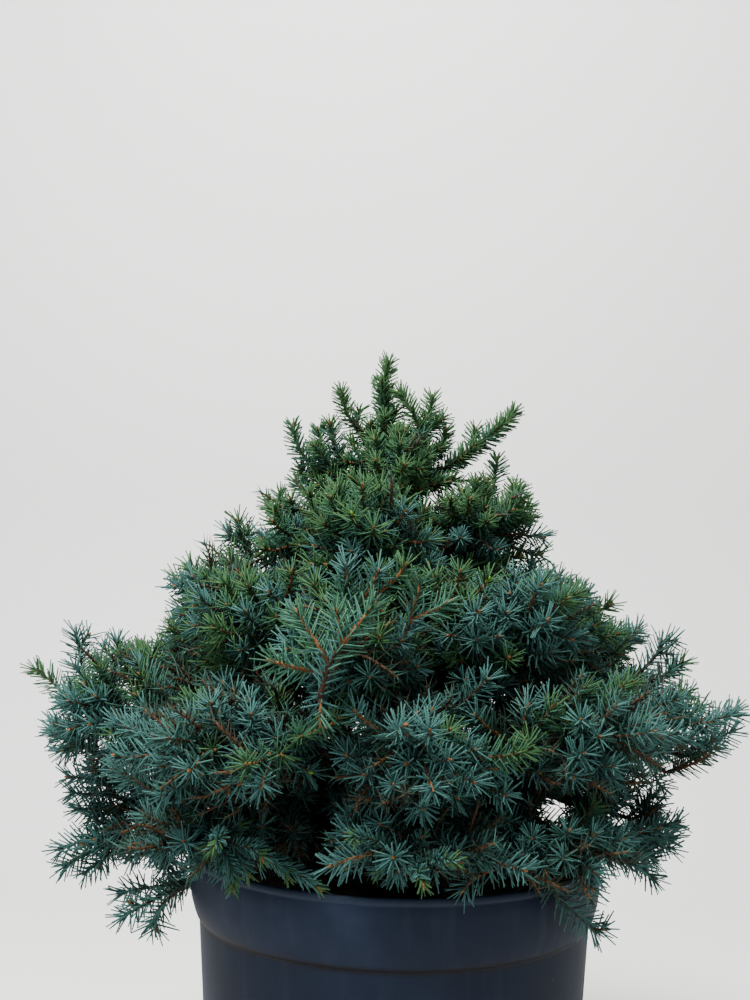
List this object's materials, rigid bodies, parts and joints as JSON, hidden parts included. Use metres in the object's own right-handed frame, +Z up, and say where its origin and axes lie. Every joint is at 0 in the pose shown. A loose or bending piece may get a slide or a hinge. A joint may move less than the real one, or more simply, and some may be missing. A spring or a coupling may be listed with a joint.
{
  "type": "potted dwarf white spruce",
  "caption": "Potted dwarf conifer: a tapering round nursery pot filled with potting mix, with a broad, dense cone of needled boughs on one short trunk.",
  "frame": {"origin": "centre of the pot's flat underside", "axes": "+Z up along the pot's axis, -Y towards the front, which is the side the picture shows, +X to the right seen from the front"},
  "size_m": [0.4806, 0.4208, 0.5721],
  "materials": {
    "pot_plastic": "matte moulded black-blue plastic, lightly scuffed",
    "potting_mix": "damp dark brown bark and peat mix",
    "bark": "thin scaly grey-brown bark",
    "needles": "short stiff blue-green needles, slightly waxy"
  },
  "bodies": {
    "root": {"bough_middle_back": "bark", "bough_middle_back_left": "bark", "bough_middle_back_right": "bark", "bough_middle_front": "bark", "bough_middle_front_left": "bark", "bough_middle_front_right": "bark", "bough_middle_left": "bark", "bough_middle_right": "bark", "bough_shoulder_back_left": "bark", "bough_shoulder_back_right": "bark", "bough_shoulder_front": "bark", "bough_shoulder_front_left": "bark", "bough_shoulder_front_right": "bark", "bough_shoulder_left": "bark", "bough_shoulder_right": "bark", "bough_skirt_back_left": "bark", "bough_skirt_back_right": "bark", "bough_skirt_front": "bark", "bough_skirt_front_left": "bark", "bough_skirt_front_right": "bark", "bough_skirt_left": "bark", "bough_skirt_right": "bark", "foliage_middle_back": "needles", "foliage_middle_back_left": "needles", "foliage_middle_back_right": "needles", "foliage_middle_front": "needles", "foliage_middle_front_left": "needles", "foliage_middle_front_right": "needles", "foliage_middle_left": "needles", "foliage_middle_right": "needles", "foliage_shoulder_back_left": "needles", "foliage_shoulder_back_right": "needles", "foliage_shoulder_front": "needles", "foliage_shoulder_front_left": "needles", "foliage_shoulder_front_right": "needles", "foliage_shoulder_left": "needles", "foliage_shoulder_right": "needles", "foliage_skirt_back_left": "needles", "foliage_skirt_back_right": "needles", "foliage_skirt_front": "needles", "foliage_skirt_front_left": "needles", "foliage_skirt_front_right": "needles", "foliage_skirt_left": "needles", "foliage_skirt_right": "needles", "foliage_top_back": "needles", "foliage_top_front": "needles", "foliage_top_leader": "needles", "foliage_top_left": "needles", "foliage_top_left_arm": "needles", "foliage_top_right": "needles", "foliage_top_right_arm": "needles", "foliage_upper_back_left": "needles", "foliage_upper_back_right": "needles", "foliage_upper_front": "needles", "foliage_upper_left": "needles", "foliage_upper_right": "needles", "pot": "pot_plastic", "potting_mix": "potting_mix", "trunk": "bark"}
  },
  "joints": []
}
